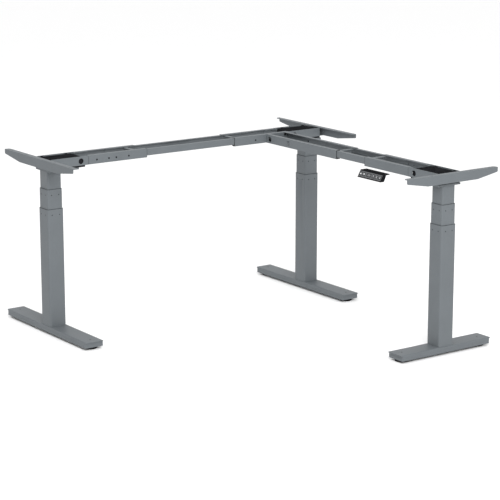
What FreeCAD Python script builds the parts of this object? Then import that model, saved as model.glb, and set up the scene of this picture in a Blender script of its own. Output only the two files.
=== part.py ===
import FreeCAD, Part
import math
import os

# Height adjustable corner desk frame with three electric lifting columns.
# Millimetres. Z = 0 is the floor. The origin is at floor level, in the middle of the frame's outline.
#
# Every leg is built in its own leg frame and then placed: x runs from the column axis along the
# beam that leaves the leg, y runs along the foot, z is up.

# ---- plan of the frame
SPAN_LONG = 1404.0          # left column axis to corner column axis
SPAN_RETURN = 1240.0        # long beam axis to return column axis
RETURN_INSET = 224.0        # corner column axis to return beam axis
TOP_Z = 788.0               # underside of the table top, the highest level of the frame

# ---- feet and levelling glides
FOOT_LONG = 700.0
FOOT_SHORT = 500.0
FOOT_WIDTH = 88.0
FOOT_TOP_Z = 37.0
FOOT_BOTTOM_Z = 10.0
FOOT_SHEET = 3.0
FOOT_EDGE_RADIUS = 5.0
FOOT_OVERHANG = 6.0
FOOT_LIP = 2.0
FOOT_NUT_RADIUS = 9.0
FOOT_NUT_HEIGHT = 9.0
GLIDE_RADIUS = 28.5
GLIDE_INSET = 38.0
GLIDE_STUD_RADIUS = 4.1
GLIDE_BORE_RADIUS = 4.4
GLIDE_PAD = 5.0
GLIDE_CAP_TOP_Z = 12.0
GLIDE_CAP_RADIUS = 15.0
GLIDE_CAP_STEP = 1.5
GLIDE_NUT_RADIUS = 8.0
GLIDE_NUT_TOP_Z = 16.0

# ---- telescopic column, three square tubes
TUBE_WALL = 1.5
OUTER_SIZE = 80.0
MID_SIZE = 74.6
INNER_SIZE = 69.2
OUTER_CORNER = 9.0
MID_CORNER = 8.0
INNER_CORNER = 7.0
OUTER_TOP_Z = 564.0
MID_TOP_Z = 652.0
INNER_TOP_Z = 732.0
TUBE_LENGTH = 530.0
BASE_PLATE = 4.0
MID_PLATE = 6.0
GUIDE_LENGTH = 60.0
GUIDE_THICK = 0.85
GUIDE_GAP = 0.05
BUTTON_RADIUS = 2.4
BUTTON_PITCH = 36.0
BUTTON_DROP = 25.0
BUTTON_HOLE_REACH = 1.0
GUIDE_DROP = 0.5

# ---- spindle drive
RUN_CLEAR = 0.1
END_CLEAR = 0.4
PASS_CLEAR = 1.0
POST_FLANGE = 5.0
BASE_FLANGE_RADIUS = 30.0
MID_FLANGE_RADIUS = 28.0
LOWER_SPINDLE_RADIUS = 12.0
LOWER_SPINDLE_BORE = 8.0
LOWER_SPINDLE_COLLAR = 18.0
UPPER_SPINDLE_RADIUS = 7.0
UPPER_SPINDLE_KEY = 7.8
UPPER_SPINDLE_KEY_LENGTH = 25.0
BASE_POST_RADIUS = 17.0
BASE_POST_BORE = 14.0
BASE_NUT_Z = 470.0
BASE_NUT_TOP_Z = 500.0
MID_POST_RADIUS = 23.0
MID_POST_BORE = 20.0
LEDGE_Z = 583.0
LEDGE_THICK = 5.0
MID_NUT_Z = 600.0
MID_NUT_TOP_Z = 636.0
LOWER_SPINDLE_Z = 120.0
UPPER_SPINDLE_Z = 250.0
UPPER_SPINDLE_TOP_Z = 760.0

# ---- leg head and drive unit
HEAD_PLATE_TOP_Z = 740.0
HEAD_PLATE_X = (-38.0, 110.0)
HEAD_PLATE_HALF = 60.0
BEAM_BOTTOM_Z = 748.0
HEAD_HALF = 61.5
HEAD_SHEET = 2.5
HEAD_BACK_X = -32.0
HEAD_FRONT_X = 157.0
HEAD_TAB_HALF = 55.0
HEAD_WALL_STEP = 2.5
HEAD_CUT_CLEAR = 0.5
END_HOLE_RADIUS = 11.0
END_HOLE_Y = 36.0
TONGUE_END_X = 215.0
TONGUE_ROOT = 12.0
TONGUE_INSET_Z = 2.3
CABLE_HOLE_RADIUS = 12.5
CABLE_HOLE_X = 120.0
CABLE_HOLE_Z = 767.0
DRIVE_BACK_X = -28.0
DRIVE_FRONT_X = 136.0
DRIVE_HALF = 56.0
DRIVE_TOP_Z = 784.0
DRIVE_CHAMFER = 3.0
DRIVE_FLANGE_FRONT_X = 142.0
DRIVE_FLANGE_HALF = 59.5
DRIVE_LUGS_X = (-12.0, 110.0)
DRIVE_LUG_RADIUS = 6.0
DRIVE_LUG_BOTTOM_Z = 753.0
DRIVE_LUG_TOP_Z = 787.5

# ---- table top brackets
BRACKET_LONG = 600.0
BRACKET_SHORT = 500.0
BRACKET_OUT_X = -60.0
BRACKET_FLANGE = 25.0
BRACKET_SHEET = 2.5
BRACKET_DEPTH = 40.0
BRACKET_TIP_DEPTH = 20.0
BRACKET_TAPER = 0.225
BRACKET_HOLE_RADIUS = 3.5
BRACKET_HOLE_X = -47.0
BRACKET_HOLE_SHARES = (-0.84, -0.42, 0.42, 0.84)
BRACKET_PLAN_ROUND = 14.0
BRACKET_TIP_ROUND = 6.0

# ---- beams, C rails in pairs
RAIL_SHEET = 2.0
RAIL_FLANGE = 20.0
CENTER_FLANGE = 17.0
CENTER_HALF = 59.2
CENTER_BOTTOM_Z = 755.6
CENTER_TOP_Z = 785.6
OVERLAP = 150.0
LEFT_MOUTH_X = 460.0
CORNER_MOUTH_X = 464.0
RETURN_MOUTH_X = 450.0
JOINT_MOUTH_X = 650.0
SEAM_GAP = 2.0
TIE_HALF = 38.0
TIE_THICK = 3.0
TIE_STRIP = 8.0
TIE_LIP = 16.0
TIE_BASE_Z = 754.8
TIE_TOP_Z = 784.0
LEFT_TIE_X = 416.0
CORNER_TIE_X = 440.0
RETURN_TIE_X = 440.0
JOINT_TIE_X = 668.0
STRAP_HALF = 15.0
LONG_STRAPS_X = (660.0, 740.0)
RETURN_STRAPS_X = (550.0,)
SCREW_RADIUS = 2.5
SCREW_HEAD_RADIUS = 4.0
SCREW_HEAD = 1.6
SCREW_Z = 766.0
LEG_SCREWS_X = (200.0, 262.0, 300.0, 365.0)
CORNER_SCREW_X = 346.0
JOINT_BOLTS_Y = (-45.0, 45.0)
JOINT_BOLTS_Z = (758.0, 778.0)
JOINT_HOLES_X = (1007.0, 1150.0)
JOINT_BOLT_RADIUS = 4.0
JOINT_BOLT_HEAD_RADIUS = 6.5
JOINT_BOLT_HEAD = 5.0
JOINT_PLATE = 3.0
JOINT_GUSSET_X = 1030.0
JOINT_SCREW_X = 1013.0

# ---- handset
HANDSET_LENGTH = 152.0
HANDSET_FACE_X = 926.0      # top edge of the key face, from the left column axis
HANDSET_Y = -1078.0         # middle of the handset, from the long beam axis
HANDSET_DROP = 31.0
HANDSET_SLOPE = 18.0
HANDSET_DEPTH = 31.0
HANDSET_FLANGE = 4.0
HANDSET_BACK_TOP = 14.0
HANDSET_BACK_LOW = 2.0
HANDSET_SCREW_RADIUS = 2.2
HANDSET_SCREW_BACK = 22.5
HANDSET_SCREW_Y = 60.0
KEY_WIDTH = 15.0
KEY_HEIGHT = 14.0
KEY_PROUD = 1.4
KEY_ROUND = 0.6
KEY_POCKET = 4.0
KEY_TRAVEL = 1.8
KEY_CLEAR = 0.3
KEY_OFFSETS = {"key_up": -62.0, "key_down": -41.0, "key_one": 20.0, "key_two": 41.0, "key_three": 62.0}
WINDOW_OFFSET = -10.0
WINDOW_HALF_WIDTH = 14.0
WINDOW_HALF_HEIGHT = 8.0
WINDOW_DEEP = 0.8

# ---- places of the three legs
ROW_Y = (SPAN_RETURN - BRACKET_OUT_X - FOOT_LONG / 2) / 2
LEGS = {
    "left": {"x": -SPAN_LONG / 2, "y": ROW_Y, "turn": 0.0, "foot": FOOT_LONG, "bracket": BRACKET_LONG},
    "corner": {"x": SPAN_LONG / 2, "y": ROW_Y, "turn": 180.0, "foot": FOOT_LONG, "bracket": BRACKET_LONG},
    "return": {"x": SPAN_LONG / 2 - RETURN_INSET, "y": ROW_Y - SPAN_RETURN, "turn": 90.0,
               "foot": FOOT_SHORT, "bracket": BRACKET_SHORT},
}


def box(x0, x1, y0, y1, z0, z1):
    """Block between two corners."""
    return Part.makeBox(x1 - x0, y1 - y0, z1 - z0, FreeCAD.Vector(x0, y0, z0))


def rod(radius, z0, z1, x=0.0, y=0.0):
    """Upright cylinder."""
    return Part.makeCylinder(radius, z1 - z0, FreeCAD.Vector(x, y, z0))


def cross_rod(radius, y0, y1, x, z):
    """Cylinder along y."""
    return Part.makeCylinder(radius, y1 - y0, FreeCAD.Vector(x, y0, z), FreeCAD.Vector(0, 1, 0))


def along_rod(radius, x0, x1, y, z):
    """Cylinder along x."""
    return Part.makeCylinder(radius, x1 - x0, FreeCAD.Vector(x0, y, z), FreeCAD.Vector(1, 0, 0))


def prism(points, direction):
    """Flat outline pushed along a direction."""
    corners = [FreeCAD.Vector(*point) for point in points]
    outline = Part.makePolygon(corners + corners[:1])
    return Part.Face(outline).extrude(FreeCAD.Vector(*direction))


def join(shapes):
    """One solid from overlapping or touching solids."""
    shape = shapes[0].fuse(shapes[1:])
    return shape.removeSplitter()


def square_bar(size, corner, z0, z1):
    """Square bar with rounded corners, on the column axis."""
    half = size / 2
    bar = box(-half, half, -half, half, z0, z1)
    uprights = [edge for edge in bar.Edges if edge.BoundBox.ZLength > z1 - z0 - 0.1]
    return bar.makeFillet(corner, uprights)


def square_tube(size, corner, wall, z0, z1):
    """Square tube with rounded corners, open at both ends."""
    hollow = square_bar(size - 2 * wall, corner - wall, z0, z1)
    return square_bar(size, corner, z0, z1).cut(hollow)


def face_buttons(inside, outside, z):
    """Two round buttons on each of a tube's four faces, between two distances from the axis."""
    buttons = []
    for offset in (-BUTTON_PITCH / 2, BUTTON_PITCH / 2):
        for side in (-1, 1):
            low = min(side * inside, side * outside)
            high = max(side * inside, side * outside)
            buttons.append(cross_rod(BUTTON_RADIUS, low, high, offset, z))
            buttons.append(along_rod(BUTTON_RADIUS, low, high, offset, z))
    return buttons


# ---- feet and glides

def foot(length):
    """Inverted steel channel with rounded long edges, inset end walls and two welded nuts."""
    half = FOOT_WIDTH / 2
    end = length / 2
    body = box(-half, half, -end, end, FOOT_BOTTOM_Z, FOOT_TOP_Z)
    long_edges = [edge for edge in body.Edges
                  if edge.BoundBox.YLength > length - 1 and edge.BoundBox.ZMin > FOOT_TOP_Z - 1]
    body = body.makeFillet(FOOT_EDGE_RADIUS, long_edges)
    wall_end = end - FOOT_OVERHANG
    hollow = box(-half + FOOT_SHEET, half - FOOT_SHEET, -wall_end + FOOT_SHEET, wall_end - FOOT_SHEET,
                 FOOT_BOTTOM_Z, FOOT_TOP_Z - FOOT_SHEET)
    body = body.cut(hollow)
    for side in (-1, 1):
        trim = box(-half, half, min(side * wall_end, side * end), max(side * wall_end, side * end),
                   FOOT_BOTTOM_Z, FOOT_TOP_Z - FOOT_SHEET - FOOT_LIP)
        body = body.cut(trim)
        y = side * (end - GLIDE_INSET)
        nut_z = FOOT_TOP_Z - FOOT_SHEET - FOOT_NUT_HEIGHT
        body = body.fuse(rod(FOOT_NUT_RADIUS, nut_z, FOOT_TOP_Z - FOOT_SHEET, 0.0, y))
        body = body.cut(rod(GLIDE_BORE_RADIUS, FOOT_BOTTOM_Z, FOOT_TOP_Z, 0.0, y))
    return body.removeSplitter()


def glide(y):
    """Levelling glide: flat pad, domed cap, hexagon and threaded stud."""
    pad = rod(GLIDE_RADIUS, 0.0, GLIDE_PAD, 0.0, y)
    dome = Part.makeCone(GLIDE_RADIUS - GLIDE_CAP_STEP, GLIDE_CAP_RADIUS, GLIDE_CAP_TOP_Z - GLIDE_PAD,
                         FreeCAD.Vector(0, y, GLIDE_PAD))
    nut = rod(GLIDE_NUT_RADIUS, GLIDE_CAP_TOP_Z, GLIDE_NUT_TOP_Z, 0.0, y)
    stud = rod(GLIDE_STUD_RADIUS, GLIDE_NUT_TOP_Z, FOOT_TOP_Z - 1.0, 0.0, y)
    return join([pad, dome, nut, stud])


# ---- telescopic column

def outer_tube():
    """Widest tube with a welded base plate, standing on the foot."""
    tube = square_tube(OUTER_SIZE, OUTER_CORNER, TUBE_WALL, FOOT_TOP_Z, OUTER_TOP_Z)
    inner_corner = OUTER_CORNER - TUBE_WALL
    plate = square_bar(OUTER_SIZE - 2 * TUBE_WALL, inner_corner, FOOT_TOP_Z, FOOT_TOP_Z + BASE_PLATE)
    half = OUTER_SIZE / 2
    holes = face_buttons(half - 2 * TUBE_WALL, half + BUTTON_HOLE_REACH, OUTER_TOP_Z - BUTTON_DROP)
    return join([tube, plate]).cut(Part.Compound(holes))


def tube_guide(tube_size, corner, top_z):
    """Plastic sleeve inside a tube's mouth, held by buttons that snap into the tube's faces."""
    size = tube_size - 2 * TUBE_WALL - 2 * GUIDE_GAP
    sleeve = square_tube(size, corner - TUBE_WALL, GUIDE_THICK, top_z - GUIDE_LENGTH,
                         top_z - GUIDE_DROP)
    inside = size / 2 - GUIDE_THICK / 2
    buttons = face_buttons(inside, tube_size / 2 - GUIDE_GAP, top_z - BUTTON_DROP)
    return join([sleeve] + buttons)


def mid_tube():
    """Middle tube with a pierced plate across its lower end."""
    bottom = MID_TOP_Z - TUBE_LENGTH
    tube = square_tube(MID_SIZE, MID_CORNER, TUBE_WALL, bottom, MID_TOP_Z)
    plate = square_bar(MID_SIZE - 2 * TUBE_WALL, MID_CORNER - TUBE_WALL, bottom, bottom + MID_PLATE)
    half = MID_SIZE / 2
    holes = face_buttons(half - 2 * TUBE_WALL, half + BUTTON_HOLE_REACH, MID_TOP_Z - BUTTON_DROP)
    body = join([tube, plate]).cut(Part.Compound(holes))
    return body.cut(rod(MID_POST_BORE - PASS_CLEAR, bottom, bottom + MID_PLATE))


def inner_tube():
    """Narrowest tube with the head plate welded on top."""
    tube = square_tube(INNER_SIZE, INNER_CORNER, TUBE_WALL, INNER_TOP_Z - TUBE_LENGTH, INNER_TOP_Z)
    plate = box(HEAD_PLATE_X[0], HEAD_PLATE_X[1], -HEAD_PLATE_HALF, HEAD_PLATE_HALF,
                INNER_TOP_Z, HEAD_PLATE_TOP_Z)
    return join([tube, plate]).cut(rod(UPPER_SPINDLE_RADIUS + PASS_CLEAR, INNER_TOP_Z, HEAD_PLATE_TOP_Z))


# ---- spindle drive

def nut_post():
    """Fixed post on the base plate, with the lower spindle's nut at its top."""
    foot_z = FOOT_TOP_Z + BASE_PLATE
    flange = rod(BASE_FLANGE_RADIUS, foot_z, foot_z + POST_FLANGE)
    post = rod(BASE_POST_RADIUS, foot_z, BASE_NUT_TOP_Z)
    bore = rod(BASE_POST_BORE, foot_z, BASE_NUT_Z)
    nut_bore = rod(LOWER_SPINDLE_RADIUS + RUN_CLEAR, BASE_NUT_Z, BASE_NUT_TOP_Z)
    return join([flange, post]).cut(bore).cut(nut_bore)


def mid_nut_post():
    """Post on the middle tube's plate: upper spindle's nut on top, bearing seat for the lower spindle."""
    foot_z = MID_TOP_Z - TUBE_LENGTH + MID_PLATE
    flange = rod(MID_FLANGE_RADIUS, foot_z, foot_z + POST_FLANGE)
    post = rod(MID_POST_RADIUS, foot_z, MID_NUT_TOP_Z)
    body = join([flange, post])
    body = body.cut(rod(MID_POST_BORE, foot_z, LEDGE_Z))
    body = body.cut(rod(LOWER_SPINDLE_RADIUS + PASS_CLEAR, LEDGE_Z, LEDGE_Z + LEDGE_THICK))
    body = body.cut(rod(MID_POST_BORE, LEDGE_Z + LEDGE_THICK, MID_NUT_Z))
    return body.cut(rod(UPPER_SPINDLE_RADIUS + RUN_CLEAR, MID_NUT_Z, MID_NUT_TOP_Z))


def spindle_lower():
    """Hollow spindle, hung by its collar in the middle post and screwed through the fixed post's nut."""
    top = MID_NUT_Z - END_CLEAR
    body = rod(LOWER_SPINDLE_RADIUS, LOWER_SPINDLE_Z, top)
    collar = rod(LOWER_SPINDLE_COLLAR, LEDGE_Z + LEDGE_THICK + END_CLEAR, top)
    return join([body, collar]).cut(rod(LOWER_SPINDLE_BORE, LOWER_SPINDLE_Z, top))


def spindle_upper():
    """Spindle hung in the drive unit; its keyed end slides in the hollow spindle."""
    body = rod(UPPER_SPINDLE_RADIUS, UPPER_SPINDLE_Z, UPPER_SPINDLE_TOP_Z)
    key = rod(UPPER_SPINDLE_KEY, UPPER_SPINDLE_Z, UPPER_SPINDLE_Z + UPPER_SPINDLE_KEY_LENGTH)
    return join([body, key])


# ---- leg head, drive unit and bracket

def c_rail(x0, x1, side, half, flange, sheet, z0, z1):
    """C channel along x: web on the outside at y = side * half, both flanges pointing inwards."""
    web_y = (side * half, side * (half - sheet))
    lip_y = (side * half, side * (half - flange))
    web = box(x0, x1, min(web_y), max(web_y), z0, z1)
    low = box(x0, x1, min(lip_y), max(lip_y), z0, z0 + sheet)
    high = box(x0, x1, min(lip_y), max(lip_y), z1 - sheet, z1)
    return join([web, low, high])


def head():
    """Sheet channel on the column's plate, with an end flange for the bracket and two rail tongues."""
    floor = box(HEAD_BACK_X, HEAD_FRONT_X, -HEAD_HALF, HEAD_HALF, BEAM_BOTTOM_Z, BEAM_BOTTOM_Z + HEAD_SHEET)
    back_x = BRACKET_OUT_X + BRACKET_SHEET
    tab = box(back_x, HEAD_BACK_X, -HEAD_TAB_HALF, HEAD_TAB_HALF, BEAM_BOTTOM_Z, BEAM_BOTTOM_Z + HEAD_SHEET)
    flange = box(back_x, back_x + HEAD_SHEET, -HEAD_TAB_HALF, HEAD_TAB_HALF, BEAM_BOTTOM_Z,
                 TOP_Z - BRACKET_SHEET - HEAD_CUT_CLEAR)
    pieces = [floor, tab, flange]
    for side in (-1, 1):
        wall_y = (side * HEAD_HALF, side * (HEAD_HALF - HEAD_SHEET))
        pieces.append(box(HEAD_BACK_X + HEAD_WALL_STEP, HEAD_FRONT_X, min(wall_y), max(wall_y),
                          BEAM_BOTTOM_Z, TOP_Z))
        pieces.append(c_rail(HEAD_FRONT_X - TONGUE_ROOT, TONGUE_END_X, side, CENTER_HALF, CENTER_FLANGE,
                             HEAD_SHEET, BEAM_BOTTOM_Z + TONGUE_INSET_Z, TOP_Z - TONGUE_INSET_Z))
    body = join(pieces)
    cut_half = DRIVE_HALF + HEAD_CUT_CLEAR
    body = body.cut(box(DRIVE_BACK_X - HEAD_CUT_CLEAR, DRIVE_FRONT_X + HEAD_CUT_CLEAR, -cut_half, cut_half,
                        BEAM_BOTTOM_Z, BEAM_BOTTOM_Z + HEAD_SHEET))
    body = body.cut(cross_rod(CABLE_HOLE_RADIUS, -HEAD_HALF, HEAD_HALF, CABLE_HOLE_X, CABLE_HOLE_Z))
    for side in (-1, 1):
        body = body.cut(along_rod(END_HOLE_RADIUS, back_x, back_x + HEAD_SHEET, side * END_HOLE_Y,
                                  CABLE_HOLE_Z))
    return body


def drive():
    """Gear motor in a dark housing: base flange under the head, body inside it, four screw lugs."""
    flange = box(HEAD_BACK_X, DRIVE_FLANGE_FRONT_X, -DRIVE_FLANGE_HALF, DRIVE_FLANGE_HALF,
                 HEAD_PLATE_TOP_Z, BEAM_BOTTOM_Z)
    body = box(DRIVE_BACK_X, DRIVE_FRONT_X, -DRIVE_HALF, DRIVE_HALF, BEAM_BOTTOM_Z, DRIVE_TOP_Z)
    top_edges = [edge for edge in body.Edges if edge.BoundBox.ZMin > DRIVE_TOP_Z - 0.1]
    body = body.makeChamfer(DRIVE_CHAMFER, top_edges)
    pieces = [flange, body]
    for x in DRIVE_LUGS_X:
        for side in (-1, 1):
            pieces.append(rod(DRIVE_LUG_RADIUS, DRIVE_LUG_BOTTOM_Z, DRIVE_LUG_TOP_Z, x,
                              side * (DRIVE_HALF - DRIVE_LUG_RADIUS)))
    bore = rod(UPPER_SPINDLE_RADIUS + RUN_CLEAR, HEAD_PLATE_TOP_Z, UPPER_SPINDLE_TOP_Z + END_CLEAR)
    return join(pieces).cut(bore)


def bracket(length):
    """Table top bracket: tapered outer web and flat top flange with four screw holes."""
    half = length / 2
    full = half - BRACKET_TAPER * length
    tip = TOP_Z - BRACKET_TIP_DEPTH
    deep = TOP_Z - BRACKET_DEPTH
    outline = [(-half, TOP_Z), (half, TOP_Z), (half, tip), (full, deep), (-full, deep), (-half, tip)]
    web = prism([(BRACKET_OUT_X, y, z) for y, z in outline], (BRACKET_SHEET, 0, 0))
    tips = [edge for edge in web.Edges if edge.BoundBox.XLength > BRACKET_SHEET - 0.1
            and abs(edge.CenterOfMass.z - tip) < 0.1]
    web = web.makeFillet(BRACKET_TIP_ROUND, tips)
    inner_x = BRACKET_OUT_X + BRACKET_FLANGE
    flange = box(BRACKET_OUT_X, inner_x, -half, half, TOP_Z - BRACKET_SHEET, TOP_Z)
    corners = [edge for edge in flange.Edges if edge.BoundBox.ZLength > BRACKET_SHEET - 0.1
               and edge.CenterOfMass.x > inner_x - 0.1]
    flange = flange.makeFillet(BRACKET_PLAN_ROUND, corners)
    body = join([web, flange])
    for share in BRACKET_HOLE_SHARES:
        y = share * half
        body = body.cut(rod(BRACKET_HOLE_RADIUS, TOP_Z - BRACKET_SHEET, TOP_Z, BRACKET_HOLE_X, y))
    return body


# ---- beams

def cross_tie(x, lip_side):
    """Tie between two outer rails: strip on the lower flanges, an upright plate and a lip on its top."""
    strip = box(x - TIE_STRIP, x + TIE_STRIP, -HEAD_HALF + RAIL_SHEET, HEAD_HALF - RAIL_SHEET,
                BEAM_BOTTOM_Z + RAIL_SHEET, TIE_BASE_Z)
    plate = box(x - TIE_THICK / 2, x + TIE_THICK / 2, -TIE_HALF, TIE_HALF, TIE_BASE_Z, TIE_TOP_Z)
    lip_x = (x, x + lip_side * TIE_LIP)
    lip = box(min(lip_x), max(lip_x), -TIE_HALF, TIE_HALF, TIE_TOP_Z - TIE_THICK, TIE_TOP_Z)
    return [strip, plate, lip]


def outer_rails(x0, x1, tie_x, lip_side, sides_with_screws):
    """Pair of outer rails with a cross tie; screw holes on the given sides."""
    pieces = cross_tie(tie_x, lip_side)
    for side in (-1, 1):
        pieces.append(c_rail(x0, x1, side, HEAD_HALF, RAIL_FLANGE, RAIL_SHEET, BEAM_BOTTOM_Z, TOP_Z))
    body = join(pieces)
    for side, positions in sides_with_screws.items():
        for x in positions:
            ends = (side * (HEAD_HALF - RAIL_SHEET), side * HEAD_HALF)
            body = body.cut(cross_rod(SCREW_RADIUS + GUIDE_GAP, min(ends), max(ends), x, SCREW_Z))
    return body


def center_rails(x0, x1, strap_x):
    """Pair of inner rails with straps welded under the gap."""
    pieces = []
    for side in (-1, 1):
        pieces.append(c_rail(x0, x1, side, CENTER_HALF, CENTER_FLANGE, RAIL_SHEET,
                             CENTER_BOTTOM_Z, CENTER_TOP_Z))
    inside = CENTER_HALF - RAIL_SHEET
    for x in strap_x:
        pieces.append(box(x - STRAP_HALF, x + STRAP_HALF, -inside, inside,
                          CENTER_BOTTOM_Z + RAIL_SHEET, CENTER_BOTTOM_Z + 2 * RAIL_SHEET))
    return join(pieces)


def rail_corner():
    """Outer rails of the long beam's corner end, with holes for the return beam's bolts."""
    start = HEAD_FRONT_X + SEAM_GAP
    body = outer_rails(start, CORNER_MOUTH_X, CORNER_TIE_X, 1, {1: (CORNER_SCREW_X,)})
    for offset in JOINT_BOLTS_Y:
        for z in JOINT_BOLTS_Z:
            hole = cross_rod(JOINT_BOLT_RADIUS + GUIDE_GAP, HEAD_HALF - RAIL_SHEET, HEAD_HALF,
                             RETURN_INSET + offset, z)
            body = body.cut(hole)
    return body


def return_joint():
    """Outer rails of the return beam's corner end, with a floor gusset and a bolted end plate."""
    end_x = SPAN_RETURN - HEAD_HALF
    plate_x = end_x - JOINT_PLATE
    web_in = HEAD_HALF - RAIL_SHEET
    rails = outer_rails(JOINT_MOUTH_X, plate_x, JOINT_TIE_X, -1, {})
    plate = box(plate_x, end_x, -HEAD_HALF, HEAD_HALF, BEAM_BOTTOM_Z, TOP_Z)
    gusset = box(JOINT_GUSSET_X, plate_x, -web_in, web_in, BEAM_BOTTOM_Z, BEAM_BOTTOM_Z + RAIL_SHEET)
    body = join([rails, plate, gusset])
    for x in JOINT_HOLES_X:
        body = body.cut(cross_rod(CABLE_HOLE_RADIUS, web_in, HEAD_HALF, x, CABLE_HOLE_Z))
    body = body.cut(cross_rod(SCREW_RADIUS + GUIDE_GAP, -HEAD_HALF, -web_in, JOINT_SCREW_X, SCREW_Z))
    for y in JOINT_BOLTS_Y:
        for z in JOINT_BOLTS_Z:
            body = body.cut(along_rod(JOINT_BOLT_RADIUS + GUIDE_GAP, plate_x, end_x, y, z))
    return body


def clamp_screw(x, side):
    """Pan head screw through a rail's web, its end flush with the inside of the web."""
    head_y = (side * HEAD_HALF, side * (HEAD_HALF + SCREW_HEAD))
    shank_y = (side * (HEAD_HALF - RAIL_SHEET), side * HEAD_HALF)
    return join([cross_rod(SCREW_HEAD_RADIUS, min(head_y), max(head_y), x, SCREW_Z),
                 cross_rod(SCREW_RADIUS, min(shank_y), max(shank_y), x, SCREW_Z)])


def inside_screw(x):
    """Screw through the web on the -y side, its head inside the channel."""
    web_in = -HEAD_HALF + RAIL_SHEET
    return join([cross_rod(SCREW_HEAD_RADIUS, web_in, web_in + SCREW_HEAD, x, SCREW_Z),
                 cross_rod(SCREW_RADIUS, -HEAD_HALF, web_in, x, SCREW_Z)])


def joint_bolt(y, z):
    """Bolt that holds the return beam's end plate on the long beam's web."""
    end_x = SPAN_RETURN - HEAD_HALF
    plate_x = end_x - JOINT_PLATE
    return join([along_rod(JOINT_BOLT_HEAD_RADIUS, plate_x - JOINT_BOLT_HEAD, plate_x, y, z),
                 along_rod(JOINT_BOLT_RADIUS, plate_x, end_x + RAIL_SHEET, y, z)])


# ---- handset

def face_frame():
    """Placement of the key face: x along the handset, y up the slope, z out of the face."""
    up = FreeCAD.Vector(HANDSET_SLOPE, 0, HANDSET_DROP).normalize()
    along = FreeCAD.Vector(0, -1, 0)
    out = along.cross(up)
    low_x = HANDSET_FACE_X - HANDSET_SLOPE - SPAN_LONG / 2
    centre = FreeCAD.Vector(low_x, ROW_Y + HANDSET_Y, TOP_Z - HANDSET_DROP)
    matrix = FreeCAD.Matrix(along.x, up.x, out.x, centre.x,
                            along.y, up.y, out.y, centre.y,
                            along.z, up.z, out.z, centre.z,
                            0, 0, 0, 1)
    return FreeCAD.Placement(matrix)


def on_face(shape):
    """Puts a shape drawn in face coordinates on the handset."""
    placed = shape.copy()
    placed.Placement = face_frame().multiply(placed.Placement)
    return placed


def face_block(offset, half_width, half_height, z0, z1):
    """Block on the middle line of the key face."""
    middle = math.hypot(HANDSET_SLOPE, HANDSET_DROP) / 2
    return box(offset - half_width, offset + half_width, middle - half_height, middle + half_height,
               z0, z1)


def handset():
    """Handset housing: sloped key face in front, screw flange at the back, pockets for the keys."""
    y0 = ROW_Y + HANDSET_Y - HANDSET_LENGTH / 2
    front = HANDSET_FACE_X - SPAN_LONG / 2
    low = TOP_Z - HANDSET_DROP
    flange_z = TOP_Z - HANDSET_FLANGE
    outline = [(front, TOP_Z), (front + HANDSET_DEPTH, TOP_Z), (front + HANDSET_DEPTH, flange_z),
               (front + HANDSET_BACK_TOP, flange_z), (front + HANDSET_BACK_LOW, low),
               (front - HANDSET_SLOPE, low)]
    body = prism([(x, y0, z) for x, z in outline], (0, HANDSET_LENGTH, 0))
    for offset in KEY_OFFSETS.values():
        pocket = face_block(offset, KEY_WIDTH / 2 + KEY_CLEAR, KEY_HEIGHT / 2 + KEY_CLEAR, -KEY_POCKET, 1.0)
        body = body.cut(on_face(pocket))
    window = face_block(WINDOW_OFFSET, WINDOW_HALF_WIDTH, WINDOW_HALF_HEIGHT, -WINDOW_DEEP, 1.0)
    body = body.cut(on_face(window))
    for side in (-1, 1):
        y = ROW_Y + HANDSET_Y + side * HANDSET_SCREW_Y
        body = body.cut(rod(HANDSET_SCREW_RADIUS, flange_z, TOP_Z, front + HANDSET_SCREW_BACK, y))
    return body


def key(offset):
    """Key cap standing proud of the face, with room to travel under it."""
    cap = face_block(offset, KEY_WIDTH / 2, KEY_HEIGHT / 2, -KEY_POCKET + KEY_TRAVEL, KEY_PROUD)
    top_edges = [edge for edge in cap.Edges if edge.BoundBox.ZMin > KEY_PROUD - 0.1]
    return on_face(cap.makeFillet(KEY_ROUND, top_edges))


def place(shape, leg):
    """Moves a shape from a leg frame to the desk frame."""
    spot = LEGS[leg]
    moved = shape.copy()
    moved.Placement = FreeCAD.Placement(FreeCAD.Vector(spot["x"], spot["y"], 0),
                                        FreeCAD.Rotation(FreeCAD.Vector(0, 0, 1), spot["turn"]))
    return moved


def leg_parts(leg):
    """All pieces of one leg, by node name."""
    foot_length = LEGS[leg]["foot"]
    glide_y = foot_length / 2 - GLIDE_INSET
    return {
        "foot_" + leg: foot(foot_length),
        "glide_a_" + leg: glide(-glide_y),
        "glide_b_" + leg: glide(glide_y),
        "outer_tube_" + leg: outer_tube(),
        "outer_guide_" + leg: tube_guide(OUTER_SIZE, OUTER_CORNER, OUTER_TOP_Z),
        "nut_post_" + leg: nut_post(),
        "mid_tube_" + leg: mid_tube(),
        "mid_guide_" + leg: tube_guide(MID_SIZE, MID_CORNER, MID_TOP_Z),
        "mid_nut_post_" + leg: mid_nut_post(),
        "spindle_lower_" + leg: spindle_lower(),
        "inner_tube_" + leg: inner_tube(),
        "spindle_upper_" + leg: spindle_upper(),
        "drive_" + leg: drive(),
        "head_" + leg: head(),
        "bracket_" + leg: bracket(LEGS[leg]["bracket"]),
    }


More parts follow.
